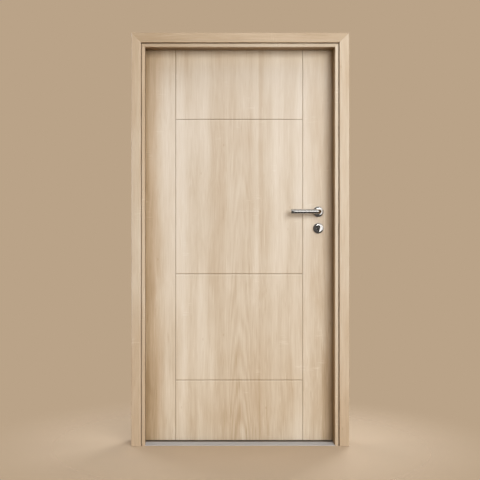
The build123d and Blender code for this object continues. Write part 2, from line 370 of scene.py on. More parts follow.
# %% Oak print knots
cells_across, cells_along = 9.0, 4.5
knot_lot, knot_core, knot_rim = (0.86, 0.88), 0.012, 0.05
spread = parted(oak_print, oak_in["Place"])
flat = oak_print.nodes.new("ShaderNodeCombineXYZ")
feed(oak_print, flat.inputs["X"], times(oak_print, spread["X"], cells_across))
feed(oak_print, flat.inputs["Y"], times(oak_print, spread["Z"], cells_along))
cells = oak_print.nodes.new("ShaderNodeTexVoronoi")
cells.voronoi_dimensions = "2D"
cells.inputs["Scale"].default_value = 1.0
oak_print.links.new(flat.outputs[0], cells.inputs["Vector"])
lot = oak_print.nodes.new("ShaderNodeSeparateColor")
oak_print.links.new(cells.outputs["Color"], lot.inputs[0])
chosen = step(oak_print, lot.outputs["Red"], *knot_lot)
pin = flipped(oak_print, step(oak_print, cells.outputs["Distance"], knot_core, knot_rim))
knots = times(oak_print, chosen, pin)
print("about one cell in", round(1 / (1 - knot_lot[1])), "has a knot")

# %% [markdown]
# All layers add up to one tone, and a ramp turns tone into colour, from brown to nearly white. The ramp's
# lowest stop lies below 0, so that grain still shows where a board is made darker as a whole. Warmth
# tints the result towards yellow. Pores are a little deeper and duller than the foil around them.

# %% Oak print colours
tone = 0.0
for layer, amount in (
    (clouds, 0.60), (bands, 0.36), (streaks, 0.17), (fibre, 0.28), (pale_hairs, 0.09), (dark_hairs, -0.09),
    (pores, -0.10), (flecks, 0.10), (knots, -0.12),
):
    tone = added(oak_print, tone, layer, amount)
tone = added(oak_print, oak_in["Tone"], tone, oak_in["Contrast"])
darkest = -0.4
tone_span = 1.0 - darkest
oak_colours = [
    (darkest, paint(123, 95, 56)),
    (0.0, paint(171, 148, 119)),
    (0.3, paint(200, 181, 157)),
    (0.5, paint(215, 202, 184)),
    (0.7, paint(227, 217, 203)),
    (1.0, paint(240, 234, 226)),
]
warm_tint = (1.0, 0.965, 0.88, 1.0)
on_ramp = calc(oak_print, "MULTIPLY_ADD", tone, 1 / tone_span, -darkest / tone_span, clamp=True)
oak_stops = [((level - darkest) / tone_span, colour) for level, colour in oak_colours]
printed = ramp(oak_print, on_ramp, oak_stops)
feed(oak_print, oak_out["Colour"], mixed(oak_print, oak_in["Warmth"], printed, warm_tint, "MULTIPLY"))
foil_roughness, fibre_roughness, pore_roughness, pore_depth = 0.46, 0.2, 0.12, -0.7
satin = added(oak_print, foil_roughness, fibre, fibre_roughness)
feed(oak_print, oak_out["Roughness"], added(oak_print, satin, pores, pore_roughness))
feed(oak_print, oak_out["Height"], added(oak_print, fibre, pores, pore_depth))
print("oak print", len(oak_print.nodes), "nodes and", len(oak_stops), "colours")

# %% [markdown]
# ## The leaf's figure
# On the leaf the print runs in wide planks: paler strips along their edges, a darker heart, a long pale
# patch and one sharp plank edge. A flame figure, arches one over the other as in a board cut near the
# heart, fades upwards. The rims, the low sides and the top corner at the hinges are darker, and the rims
# and the top warmer: this is painted shade with a warm tint. Each is a smooth bump or step over the
# height and the place across, added to the tone.

# %% Places in the leaf's print
pale_strips = [
    (0.165, 0.035, 0.06),
    (0.216, 0.034, 0.11),
    (0.348, 0.050, 0.06),
    (0.603, 0.026, 0.07),
    (0.703, 0.024, 0.05),
    (0.850, 0.065, 0.12),
]
heart_x, heart_reach, heart_tone, heart_foot_tone, heart_foot = 0.50, 0.16, -0.05, -0.11, 0.75
patch_x, patch_x_reach, patch_z, patch_z_reach, patch_tone = 0.19, 0.13, 1.15, 0.85, 0.17
plank_edge, plank_drop, plank_recover = 0.617, 0.12, 0.09
flame_x, flame_reach, flame_arch, flame_rise, flame_waver = 0.525, 0.085, 150.0, 0.21, 2.4
flame_tone, flame_top = 0.075, 2.2
waver_size, waver_shift, waver_reach = (5, 5, 2.2), (4, 0, 2), 0.03
# The low sides and the top corner at the hinges get painted shade.
low_sides_painted_shade, low_sides_reach, low_sides_top = -0.065, 0.38, 0.55
top_corner_painted_shade, top_corner_x, top_corner_z = -0.085, (0.15, 0.40), (1.40, 1.75)
# The rims' darkening, and the extra warmth at the rims and the top, are painted shade with a warm tint.
rim_painted_shades = [("hinge", 0.0, 0.126, 0.33), ("hinge", 0.012, 0.042, 0.17), ("lock", 0.0, 0.085, 0.16)]
foot_contrast, contrast_fall = 1.36, 0.30
foot_warmth, warmth_fall, rim_shade_warmth, top_shade_warmth, top_shade_from = 0.70, 0.42, 0.35, 0.9, 1.86
leaf_line = (skin_low[0] + skin_high[0]) / 2
print(len(pale_strips), "pale strips on a leaf with its middle at x", round(leaf_line, 4))


# %% The leaf's tone
def plank_level(tree, across, height, tone):
    """A tone plus the heart, which is darker towards the foot, the pale patch and the pale strips."""
    low_down = flipped(tree, step(tree, height, 0.0, heart_foot))
    heart_depth = added(tree, heart_tone, low_down, heart_foot_tone)
    level = added(tree, tone, bump_at(tree, across, heart_x, heart_reach), heart_depth)
    patch_height = bump_at(tree, height, patch_z, patch_z_reach)
    patch = times(tree, bump_at(tree, across, patch_x, patch_x_reach), patch_height)
    level = added(tree, level, patch, patch_tone)
    for middle, reach, amount in pale_strips:
        level = added(tree, level, bump_at(tree, across, middle, reach), amount)
    return level


def edge_level(tree, x, level):
    """A level that drops sharply at the plank's edge and recovers smoothly beyond it."""
    past_edge = calc(tree, "GREATER_THAN", x, plank_edge)
    ease = flipped(tree, step(tree, x, plank_edge, plank_edge + plank_recover))
    return added(tree, level, times(tree, past_edge, ease), -plank_drop)


def flame_level(tree, across, height, waver, level):
    """A level plus flames: a sine of the height plus the square of the place across, weaker upwards."""
    off = calc(tree, "SUBTRACT", across, flame_x)
    arch = added(tree, height, times(tree, off, off), flame_arch)
    phase = added(tree, calc(tree, "DIVIDE", arch, flame_rise), waver, flame_waver)
    flame = calc(tree, "SINE", times(tree, phase, 2 * math.pi))
    fading = added(tree, flame_tone, height, -flame_tone / flame_top)
    return added(tree, level, times(tree, flame, bump_at(tree, across, flame_x, flame_reach)), fading)


def corner_level(tree, x, height, level):
    """A level with painted shade low down at both sides, and high up at the hinges."""
    sides = flipped(tree, bump_at(tree, x, leaf_line, low_sides_reach))
    low_part = flipped(tree, step(tree, height, 0.0, low_sides_top))
    level = added(tree, level, times(tree, sides, low_part), low_sides_painted_shade)
    hinge_part = flipped(tree, step(tree, x, *top_corner_x))
    return added(tree, level, times(tree, hinge_part, step(tree, height, *top_corner_z)), top_corner_painted_shade)


def rim_level(tree, x, height, level):
    """A level with painted shade at the rims, and a warmth that falls with height and rises at rims and top
    as a warm tint of shade.
    """
    warmth = added(tree, foot_warmth, height, -warmth_fall, clamp=True)
    from_rim = {
        "hinge": calc(tree, "SUBTRACT", x, skin_low[0]),
        "lock": calc(tree, "SUBTRACT", skin_high[0], x),
    }
    for side, start, end, amount in rim_painted_shades:
        rim = flipped(tree, step(tree, from_rim[side], start, end))
        level = added(tree, level, rim, -amount)
        warmth = added(tree, warmth, rim, rim_shade_warmth, clamp=True)
    up_high = step(tree, height, top_shade_from, skin_high[2])
    return level, added(tree, warmth, up_high, top_shade_warmth, clamp=True)


def leaf_figure(tree, place, tone):
    """The leaf's tone, contrast and warmth over its face; its planks follow lines that waver."""
    split = parted(tree, place)
    x, height = split["X"], split["Z"]
    waver = noise(tree, stretched(tree, place, waver_size, waver_shift))
    across = added(tree, x, calc(tree, "SUBTRACT", waver, 0.5), waver_reach)
    level = plank_level(tree, across, height, tone)
    level = edge_level(tree, x, level)
    level = flame_level(tree, across, height, waver, level)
    level = corner_level(tree, x, height, level)
    level, warmth = rim_level(tree, x, height, level)
    return level, added(tree, foot_contrast, height, -contrast_fall), warmth


print("flames", flame_rise, "m apart on the line x", flame_x)

# %% [markdown]
# ## The frame's figure
# Jambs and casings wear plain foil, but not all of one tone. The jambs' insides, away from the light, are
# darker and warmer: painted shade. Their front lips are paler on the latch side and the head, a painted
# light, and darker on the hinge side, a painted shade. All boards darken towards the floor, and the hinge
# side towards the top too: painted shade again. These are bumps and steps over x, y and z again, so all
# boards match where they meet.

# %% The frame's tone
# Painted shade inside the jambs, towards the floor and high on the hinge side, and painted light on the
# lips.
reveal_y, reveal_reach, reveal_painted_shade, reveal_shade_warmth = 0.005, 0.074, -0.56, 1.0
outer_skin, hinge_inner, latch_inner, head_inner = 0.010, 0.022, 0.024, 0.029
jamb_shells = [
    ("X", jamb_low[0] + outer_skin, jamb_low[0] + hinge_inner),
    ("X", latch_high[0] - outer_skin, latch_high[0] - latch_inner),
    ("Z", head_high[2] - outer_skin, head_high[2] - head_inner),
]
lip_reach, hinge_lip_painted_shade = 0.012, -0.13
hinge_half, top_part, corner_painted_shade = (0.1, 0.6), (1.2, 1.9), -0.14
floor_shade_height, floor_painted_shade = 0.8, -0.13


def frame_figure(tree, place, tone, warmth, lip_painted_light):
    """A frame board's tone and warmth: painted shade inside the jambs, low down and high on the hinge side,
    and painted light on lips.
    """
    split = parted(tree, place)
    # Painted shade inside the jambs.
    inside = bump_at(tree, split["Y"], reveal_y, reveal_reach)
    for axis, outer, inner in jamb_shells:
        inside = times(tree, inside, step(tree, split[axis], outer, inner))
    level = added(tree, tone, inside, reveal_painted_shade)
    # Painted light on the lips, and painted shade on the hinge side's lip, towards the floor and in the top
    # corner.
    hinge_side = flipped(tree, step(tree, split["X"], *hinge_half))
    lip_light_and_shade = added(tree, lip_painted_light, hinge_side, hinge_lip_painted_shade)
    level = added(tree, level, bump_at(tree, split["Y"], jamb_front, lip_reach), lip_light_and_shade)
    level = added(tree, level, flipped(tree, step(tree, split["Z"], 0.0, floor_shade_height)), floor_painted_shade)
    corner = times(tree, hinge_side, step(tree, split["Z"], *top_part))
    level = added(tree, level, corner, corner_painted_shade)
    return level, added(tree, warmth, inside, reveal_shade_warmth, clamp=True)


print("lips at y", round(jamb_front, 4), "and reveals about y", reveal_y)

# %% [markdown]
# ## Foil on the leaf, the frame and the edges
# All foils share the print. Boards that lie across the head are cut from foil with its grain across, so
# their pattern is turned a quarter. The leaf's narrow edges wear a plainer strip. Two values that the
# leaf's mesh carries darken the foil in the grooves, as painted shade, and lighten it on their shoulders,
# as a painted highlight.

# %% Foil finishes
# Painted shade in the grooves, and a painted highlight on their shoulders.
groove_shade, groove_share, groove_fade = paint(120, 92, 64), 0.42, (0.05, 0.6)
shoulder_painted_highlight = 0.30
foil_relief, foil_relief_strength, foil_gloss = 0.0002, 0.35, 0.42


def foil(
    name, lying=False, planks=False, lip_painted_light=None, tone=0.5, contrast=1.0, warmth=0.3, shift=(0, 0, 0)
):
    """A foil finish: the oak print along Z, or along X on a lying board, with its board's figure."""
    made, tree, shader, place = finish_start(name)
    grain = turned(tree, place, (0, math.pi / 2 if lying else 0, 0), shift)
    if planks:
        tone, contrast, warmth = leaf_figure(tree, place, tone)
        # Painted highlight on the groove shoulders.
        tone = added(tree, tone, marked(tree, "shoulder"), shoulder_painted_highlight)
    if lip_painted_light is not None:
        tone, warmth = frame_figure(tree, place, tone, warmth, lip_painted_light)
    oak = placed(tree, oak_print, Place=grain, Tone=tone, Contrast=contrast, Warmth=warmth)
    colour = oak["Colour"]
    if planks:
        # Painted shade in the grooves.
        groove_painted_shade = times(tree, step(tree, marked(tree, "groove"), *groove_fade), groove_share)
        colour = mixed(tree, groove_painted_shade, colour, groove_shade)
    tree.links.new(colour, shader.inputs["Base Color"])
    tree.links.new(oak["Roughness"], shader.inputs["Roughness"])
    bumped(tree, shader, oak["Height"], foil_relief, foil_relief_strength)
    shader.inputs["Specular IOR Level"].default_value = foil_gloss
    return made


leaf_foil = foil("leaf_oak_foil", planks=True, tone=0.49)
frame_foil = foil(
    "frame_oak_foil", lip_painted_light=0.09, tone=0.38, contrast=0.9, warmth=0.4, shift=(2.3, 0.4, 1.1)
)
head_foil = foil(
    "head_oak_foil", lying=True, lip_painted_light=0.22, tone=0.22, contrast=0.9, warmth=0.35, shift=(5.2, 0.7, 0.6)
)
edge_foil = foil("leaf_edge_strip", tone=0.42, contrast=0.6, shift=(0.3, 0.9, 2.0))
print("foils", leaf_foil.name, frame_foil.name, head_foil.name, edge_foil.name)

# %% [markdown]
# ## Steel, nickel, rubber and the sill
# The handles are polished stainless steel, the hinges and plates satin nickel, the cylinder and bolts a
# darker nickel. All need fine rubbing marks and faint finger smears, so one group makes them and each
# metal sets its own amounts. The seal is a dull soft rubber. The sill plate is grey aluminium brushed
# along its length, with a painted shadow just before and under the leaf. The inside of the bolt holes gets
# a nearly black finish, a painted shade.

# %% Metal marks group
metal_marks, mark_in, mark_out = effect(
    "metal_marks",
    [
        ("Place", "Vector", None),
        ("Base Roughness", "Float", 0.2),
        ("Smears", "Float", 0.1),
        ("Lines", "Float", 0.1),
    ],
    [("Roughness", "Float"), ("Shade", "Float"), ("Height", "Float")],
)
line_size, smear_size, smear_shade = (60, 900, 2400), (70, 70, 70), -0.12
rubbing = noise(metal_marks, stretched(metal_marks, mark_in["Place"], line_size))
smear = noise(metal_marks, stretched(metal_marks, mark_in["Place"], smear_size), detail=3.0)
smear = step(metal_marks, smear, 0.45, 0.75)
line_change = calc(metal_marks, "SUBTRACT", rubbing, 0.5)
rough = added(metal_marks, mark_in["Base Roughness"], line_change, mark_in["Lines"])
rough = added(metal_marks, rough, smear, mark_in["Smears"], clamp=True)
feed(metal_marks, mark_out["Roughness"], rough)
feed(metal_marks, mark_out["Shade"], added(metal_marks, 1.0, smear, smear_shade))
feed(metal_marks, mark_out["Height"], rubbing)
print("metal marks", len(metal_marks.nodes), "nodes")

# %% Metal, rubber and sill finishes
metal_relief, dull_relief = 0.00002, 0.0003
# The sill's dark band is a painted shadow under the leaf.
under_leaf_shade_colour, under_leaf_shade_fade, shade_before_leaf = paint(116, 104, 92), 0.010, 0.021


def metal(name, colour, roughness, smears, lines, relief_strength, turn=(0, 0, 0)):
    """A metal whose colour is shaded by smears and whose roughness follows the rubbing marks."""
    made, tree, shader, place = finish_start(name)
    marked_place = turned(tree, place, turn)
    marks = placed(
        tree, metal_marks, Place=marked_place, Base_Roughness=roughness, Smears=smears, Lines=lines
    )
    tree.links.new(mixed(tree, 1.0, colour, marks["Shade"], "MULTIPLY"), shader.inputs["Base Color"])
    tree.links.new(marks["Roughness"], shader.inputs["Roughness"])
    shader.inputs["Metallic"].default_value = 1.0
    bumped(tree, shader, marks["Height"], metal_relief, relief_strength)
    return made


def dull(name, dark, light, roughness, grain_size, relief_strength, shaded_from=None):
    """A dull finish between two colours, mottled at a grain size, with a painted shadow beyond a place
    along y.
    """
    made, tree, shader, place = finish_start(name)
    mottle = noise(tree, stretched(tree, place, grain_size), detail=3.0, roughness=0.6)
    colour = ramp(tree, mottle, [(0.3, dark), (0.7, light)])
    if shaded_from is not None:
        # Painted shadow beyond a place along y.
        under_leaf_shade = step(tree, parted(tree, place)["Y"], shaded_from, shaded_from + under_leaf_shade_fade)
        colour = mixed(tree, under_leaf_shade, colour, under_leaf_shade_colour)
    tree.links.new(colour, shader.inputs["Base Color"])
    tree.links.new(added(tree, roughness - 0.1, mottle, 0.2), shader.inputs["Roughness"])
    bumped(tree, shader, mottle, dull_relief, relief_strength)
    return made


polished_steel = metal("polished_steel", paint(192, 190, 187), 0.07, 0.06, 0.04, 0.08)
satin_nickel = metal("satin_nickel", paint(192, 188, 180), 0.30, 0.08, 0.14, 0.25, (0, math.pi / 2, 0))
lock_nickel = metal("lock_nickel", paint(112, 110, 106), 0.10, 0.06, 0.08, 0.20)
soft_rubber = dull("soft_seal_rubber", paint(58, 50, 44), paint(84, 74, 64), 0.75, (500, 500, 90), 0.3)
sill_aluminium = dull(
    "sill_aluminium", paint(194, 194, 196), paint(210, 210, 212), 0.42, (5, 420, 420), 0.03,
    leaf_front - shade_before_leaf,
)
# A nearly black finish: painted shade inside the bolt holes.
shade_inside = dull("shade_inside", paint(18, 16, 14), paint(34, 30, 26), 0.9, (400, 400, 400), 0.4)
print("metals", polished_steel.name, satin_nickel.name, lock_nickel.name, "and sill", sill_aluminium.name)

# %% [markdown]
# ## Finishes on the solids
# Pieces whose CAD solid already has the real shape keep it and only get a finish: the jambs, the leaf's
# stiles and rails, the seals, the sill plate, the hinge plates, the lock's plates and bolts, and the
# spindle. The solids that a new piece stands for get theirs too, so that no solid is left plain.

# %% Dress the solids
posts = ("hinge_side", "latch_side")
casing_posts = [side + "_casing_" + post for side in ("front", "back") for post in posts]
dress = [
    (leaf_foil, ["leaf_front_skin", "leaf_back_skin"]),
    (frame_foil, ["hinge_jamb", "latch_jamb", *casing_posts]),
    (head_foil, ["head_jamb", "front_casing_head", "back_casing_head"]),
    (edge_foil, ["leaf_hinge_stile", "leaf_lock_stile", "leaf_top_rail", "leaf_foot_rail"]),
    (soft_rubber, ["seal_hinge_side", "seal_latch_side", "seal_head"]),
    (sill_aluminium, ["sill_plate"]),
    (polished_steel, ["front_lever", "front_lever_rose", "front_key_rose"]),
    (polished_steel, ["back_lever", "back_lever_rose", "back_key_rose"]),
    (lock_nickel, ["lock_cylinder", "latch_bolt", "dead_bolt"]),
]
dressed = {node for _, nodes in dress for node in nodes}
dress.append((satin_nickel, sorted(set(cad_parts) - dressed)))
for finish, nodes in dress:
    for node in nodes:
        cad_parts[node].data.materials.clear()
        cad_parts[node].data.materials.append(finish)
print("dressed", len(dressed), "and in nickel", len(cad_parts) - len(dressed))

# %% [markdown]
# ## The leaf's faces
# A leaf like this is a flat board with V grooves milled in it before the foil is pressed on, so the foil
# rounds the groove's shoulders and its bottom a little. A face is a height over a grid of x and z: the
# grid is fine across the grooves and the outer edge and coarse between them. The depth at a point is the
# deepest of the grooves, the rounded edge and the notches for the hinges, and the outermost ring of the
# grid folds back to the core.

# %% Grooves and edges
groove_lines = (0.192, 0.842)
groove_heights = (0.314, 0.858, 1.648)
groove_half, groove_depth, edge_round = 0.0032, 0.0032, 0.0014
groove_ease = 0.2
half_groove = np.array([0.12, 0.3, 0.6, 0.85, 1.0, 1.2, 1.5])
across_groove = groove_half * np.concatenate([-half_groove[::-1], [0], half_groove])
edge_steps = edge_round * (1 - np.cos(np.linspace(0, math.pi / 2, 6)))


def v_groove(offset):
    """Depth of a V groove at an offset from its line: an even fall, eased by a parabola at both ends."""
    fall = 1 - np.abs(offset) / groove_half
    bottom = 1 - (1 - fall) ** 2 / (2 * groove_ease) - groove_ease / 2
    shoulder = np.clip(fall + groove_ease, 0, None) ** 2 / (4 * groove_ease)
    eased = np.where(fall > 1 - groove_ease, bottom, fall)
    eased = np.where(fall < groove_ease, shoulder, eased)
    return groove_depth * eased


def edge_fall(place, low, high):
    """Depth of the rounded edge: a quarter circle between the rim and one edge radius inside it."""
    inside = np.minimum(np.minimum(place - low, high - place), edge_round)
    return edge_round - np.sqrt(np.maximum(edge_round**2 - (edge_round - inside) ** 2, 0))


def ruled(low, high, marks, even):
    """Grid lines from low to high: fine at both rims and across each mark, and evenly spaced between."""
    lines = [low + edge_steps, high - edge_steps, np.linspace(low, high, even)]
    lines += [mark + across_groove for mark in marks]
    lines = np.unique(np.round(np.concatenate(lines), 6))
    return lines[(lines >= low - 1e-9) & (lines <= high + 1e-9)]


print("groove", groove_half * 2, "m wide and", round(float(v_groove(0.0)), 5), "m deep")

# %% Grooved leaf faces
shoulder_width = 0.0022
shoulder_steps = groove_half + shoulder_width * np.arange(3)
side_gap = 4e-5
notch_width, notch_depth = 0.0022, 0.0025
notch_lines = np.array([0.0020, 0.0023])
notch_ends = np.array([-2e-4, 2e-4])


def leaf_face(surface, core, hinge_notches):
    """A leaf face and its flat back; the face falls inwards by grooves, edge and hinge notches."""
    inward = np.sign(core - surface)
    low_x, high_x = skin_low[0] + side_gap, skin_high[0] - side_gap
    low_z, high_z = skin_low[2], skin_high[2]
    beside = [line + side * shoulder_steps for line in groove_lines for side in (-1, 1)]
    below = [height - shoulder_steps for height in groove_heights]
    ends = [end + notch_ends for span in hinge_notches for end in span]
    xs = np.concatenate([ruled(low_x, high_x, groove_lines, 25), low_x + notch_lines, *beside])
    zs = np.concatenate([ruled(low_z, high_z, groove_heights, 41), *ends, *below])
    xs = np.concatenate([[low_x], np.unique(np.round(xs, 6)), [high_x]])
    zs = np.concatenate([[low_z], np.unique(zs), [high_z]])
    z, x = np.meshgrid(zs, xs, indexing="ij")
    depth = np.maximum(edge_fall(x, low_x, high_x), edge_fall(z, low_z, high_z))
    for line in groove_lines:
        depth = np.maximum(depth, v_groove(x - line))
    between = (x >= groove_lines[0]) & (x <= groove_lines[1])
    for height in groove_heights:
        depth = np.maximum(depth, np.where(between, v_groove(z - height), 0))
    for foot, top in hinge_notches:
        depth = np.where((x < low_x + notch_width) & (z > foot) & (z < top), notch_depth, depth)
    rim = np.zeros(x.shape, dtype=bool)
    rim[[0, -1], :] = True
    rim[:, [0, -1]] = True
    y = np.where(rim, core, surface + inward * depth)
    sheets = (y, np.full_like(y, core))
    return [(np.stack([x, sheet, z], axis=-1), False, False) for sheet in sheets]


print("shoulders", shoulder_width, "m wide on both sides of their middle")

# %% [markdown]
# The foil needs to know where the grooves are. The mesh carries that as two values at each point: how
# deep it lies in a groove, for the painted shade, and how near it is to the middle of a shoulder, under a
# lying groove or beside an upright one, for the painted highlight.

# %% Marks for the foil, and both faces
upright_share, below_share, beside_share = 0.95, 0.55, 0.30


def on_shoulder(offset):
    """1 in the middle of a groove's shoulder, falling evenly to 0 at both of its edges."""
    return np.clip(1 - np.abs(offset - groove_half - shoulder_width) / shoulder_width, 0, 1)


def mark_grooves(made):
    """Writes each point's share of a groove's depth and of a shoulder, for the foil's painted shade and
    highlight.
    """
    mesh = made.data
    points = np.empty(len(mesh.vertices) * 3)
    mesh.vertices.foreach_get("co", points)
    x, _, z = points.reshape(-1, 3).T
    between = (x >= groove_lines[0]) & (x <= groove_lines[1])
    upright = np.max([v_groove(x - line) for line in groove_lines], axis=0)
    lying = np.max([v_groove(z - height) for height in groove_heights], axis=0)
    depth = np.maximum(upright * upright_share, np.where(between, lying, 0)) / groove_depth
    beside = np.max([on_shoulder(np.abs(x - line)) for line in groove_lines], axis=0)
    below = np.max([on_shoulder(height - z) for height in groove_heights], axis=0)
    lit_shoulders = np.maximum(beside * beside_share, np.where(between, below, 0) * below_share)
    for name, values in (("groove", depth), ("shoulder", lit_shoulders)):
        marks = np.clip(values, 0, 1).astype(np.float32)
        mesh.attributes.new(name, "FLOAT", "POINT").data.foreach_set("value", marks)


hinges = ("low", "middle", "high")
hinge_spans = []
for hinge in hinges:
    plate_low, plate_high = limits(hinge + "_hinge_leaf_plate")
    hinge_spans.append((plate_low[2], plate_high[2]))
for side, surface, core, notches in (
    ("front", leaf_front, core_front, []),
    ("back", leaf_back, core_back, hinge_spans),
):
    face = leaf_face(surface, core, notches)
    skin = ["leaf_" + side + "_skin"]
    mark_grooves(piece(side + "_leaf_face", face, leaf_foil, "leaf", skin, crisp=24))

# %% [markdown]
# ## The casings
# Each casing is a flat foiled board with soft edges, cut at 45 degrees where it meets its neighbour. Its
# profile is carried along the opening's edge, and each point of the profile stops on the mitre, so a
# point further from the opening runs further. The last half millimetre pulls in a little, which leaves
# the fine seam of a real mitre.

# %% Casing profiles
soft_edge, seam = 0.0022, 0.0004
tongue_width = 0.006


def arc(centre, radius, start, end, count):
    """Points on an arc from one angle to another, in degrees."""
    turn = np.radians(np.linspace(start, end, count))
    return np.array(centre) + radius * np.stack([np.cos(turn), np.sin(turn)], axis=-1)


def board_profile(margin, edge, seat, face, tongue_length):
    """A casing's outline as (distance from the opening, y): rounded corners, and a tongue if it has one."""
    out = np.sign(face - seat)
    first = arc((edge - soft_edge, 0), soft_edge, 0, 90, 7)
    second = arc((margin + soft_edge, 0), soft_edge, 90, 180, 7)
    rounded = np.concatenate([first, second])
    rounded[:, 1] = face + out * (rounded[:, 1] - soft_edge)
    foot = [(margin, seat), (edge, seat)]
    if tongue_length > 0:
        tip, inner = seat + tongue_length, margin + tongue_width
        foot = [(margin, tip), (inner, tip), (inner, seat), (edge, seat)]
    return np.concatenate([rounded, np.array(foot)])


def shrunk(outline, amount):
    """An outline pulled in by an amount, at a right angle to the line between each point's neighbours."""
    along = np.roll(outline, -1, axis=0) - np.roll(outline, 1, axis=0)
    normal = np.stack([-along[:, 1], along[:, 0]], axis=-1)
    normal /= np.linalg.norm(normal, axis=1, keepdims=True)
    x, y = outline.T
    area = np.sum(x * np.roll(y, -1) - np.roll(x, -1) * y)
    return outline + np.sign(area) * amount * normal


front_low, front_high = limits("front_casing_hinge_side")
rear_low, rear_high = limits("back_casing_hinge_side")
front_margin, front_edge = hinge_face - front_high[0], hinge_face - front_low[0]
rear_margin, rear_edge = hinge_face - rear_high[0], hinge_face - rear_low[0]
profiles = {
    "front": board_profile(front_margin, front_edge, jamb_front, front_low[1], front_high[1] - jamb_front),
    "back": board_profile(rear_margin, rear_edge, jamb_back, rear_high[1], 0),
}
print("casing", round(front_edge - front_margin, 4), "m wide, profile points", len(profiles["front"]))


# %% Mitred casings
def ends_closed(rings):
    """Adds a first and a last row at each end's middle, which closes both ends."""
    first = np.broadcast_to(rings[0].mean(axis=0), rings[0].shape)
    last = np.broadcast_to(rings[-1].mean(axis=0), rings[-1].shape)
    return np.concatenate([first[None], rings, last[None]])


def upright_casing(outline, face_x, way):
    """A casing beside the opening: x is the face plus or minus the distance, z runs from floor to mitre."""
    shape = np.stack([outline, outline, shrunk(outline, seam)])
    distance, y = shape[..., 0], shape[..., 1]
    top = head_face + distance
    z = np.stack([np.zeros(len(outline)), top[1] - seam, top[2]])
    return [(ends_closed(np.stack([face_x + way * distance, y, z], axis=-1)), True, False)]


def head_casing(outline):
    """A casing over the opening: z is the head plus the distance, x runs from mitre to mitre."""
    pulled = shrunk(outline, seam)
    shape = np.stack([pulled, outline, outline, pulled])
    distance, y = shape[..., 0], shape[..., 1]
    hinge_end, latch_end = hinge_face - distance[:2], latch_face + distance[2:]
    x = np.stack([hinge_end[0], hinge_end[1] + seam, latch_end[0] - seam, latch_end[1]])
    return [(ends_closed(np.stack([x, y, head_face + distance], axis=-1)), True, False)]


for side, outline in profiles.items():
    for post, face_x, way in (("hinge", hinge_face, -1), ("latch", latch_face, 1)):
        board = upright_casing(outline, face_x, way)
        solid = [side + "_casing_" + post + "_side"]
        piece(side + "_" + post + "_board", board, frame_foil, "frame", solid)
    board = head_casing(outline)
    piece(side + "_head_board", board, head_foil, "frame", [side + "_casing_head"])

# %% [markdown]
# ## Levers
# Each lever is one round steel bar, bent to an elbow of small radius and cut square at its tip with the
# edge broken. It could be two cylinders and a torus, but a circle carried along one path has no seams.
# The path is the neck, a quarter turn and the grip. The last rings shrink along a small quarter circle to
# round the tip.

# %% Bent levers
elbow, tip_round = 0.017, 0.0014


def bent_bar(neck_y, grip_y, tip_x, out):
    """A circle carried from the rose along y, round the elbow and along -x, and shrunk at the tip."""
    turn = np.linspace(0, math.pi / 2, 18)
    last = np.linspace(0, math.pi / 2, 6)[1:]
    neck = np.linspace(abs(neck_y - grip_y), elbow, 5)[:-1]
    grip = np.linspace(handle_x - elbow, tip_x + tip_round, 8)[1:]
    straight = len(grip) + len(last)
    on_neck, on_elbow = np.full(len(neck), handle_x), handle_x - elbow * (1 - np.cos(turn))
    centre_x = np.concatenate([on_neck, on_elbow, grip, tip_x + tip_round * (1 - np.sin(last))])
    away = np.concatenate([neck, elbow * (1 - np.sin(turn)), np.zeros(straight)])
    heading = np.concatenate([np.zeros(len(neck)), turn, np.full(straight, math.pi / 2)])
    radius = np.full(len(centre_x), bar_radius)
    radius[-len(last):] -= tip_round * (1 - np.cos(last))
    angle = np.linspace(0, 2 * math.pi, 40, endpoint=False)
    side = radius[:, None] * np.cos(angle)
    x = centre_x[:, None] + side * np.cos(heading)[:, None]
    y = grip_y - out * (away[:, None] - side * np.sin(heading)[:, None])
    z = handle_z + radius[:, None] * np.sin(angle)
    return [(ends_closed(np.stack([x, y, z], axis=-1)), True, False)]


back_lever_low, back_lever_high = limits("back_lever")
for side, neck_y, grip_y, out in (
    ("front", lever_high[1], lever_low[1] + bar_radius, -1),
    ("back", back_lever_low[1], back_lever_high[1] - bar_radius, 1),
):
    bar = bent_bar(neck_y, grip_y, lever_low[0], out)
    piece(side + "_bent_lever", bar, polished_steel, "lever", [side + "_lever"])

# %% [markdown]
# ## Roses and cylinder faces
# A rose is a pressed steel cap with a soft rim, a low dome and a hole: round under the lever,
# keyhole-shaped over the lock cylinder. Both are one shape: every ring runs from the hole's outline to
# the round rim, and the profile across the ring gives its height. The same formula makes the face of the
# lock's plug, whose hole is the keyway.

# %% Outlines of the holes
plug_low, plug_high = limits("lock_cylinder")
plug_radius = (plug_high[0] - plug_low[0]) / 2
plug_z = plug_high[2] - plug_radius
foot_radius, bore_play, key_play = 0.005, 0.0004, 0.0003
keyway_half_width, keyway_half_height = 0.0012, 0.0045
tiny = 1e-6


def lever_bore(angle):
    """The same distance all round: the lever's radius and a little play."""
    return np.full_like(angle, bar_radius + bore_play)


def keyhole(angle):
    """Distance from the rose's middle to the cylinder's outline: the further of its round top and neck."""
    sine, cosine = np.sin(angle), np.cos(angle)
    rise, top = plug_z - key_z, plug_radius + key_play
    up = rise * sine
    round_exit = up + np.sqrt(np.maximum(up**2 - rise**2 + top**2, 0))
    neck, drop = foot_radius + key_play, key_z - (plug_low[2] + foot_radius)
    side_exit = neck / np.maximum(np.abs(cosine), tiny)
    down = -drop * sine
    foot_exit = down + np.sqrt(np.maximum(down**2 - drop**2 + neck**2, 0))
    lower_exit = np.where(-side_exit * sine <= drop, side_exit, foot_exit)
    upper_exit = np.minimum(side_exit, rise / np.maximum(sine, tiny))
    return np.maximum(round_exit, np.where(sine > 0, upper_exit, lower_exit))


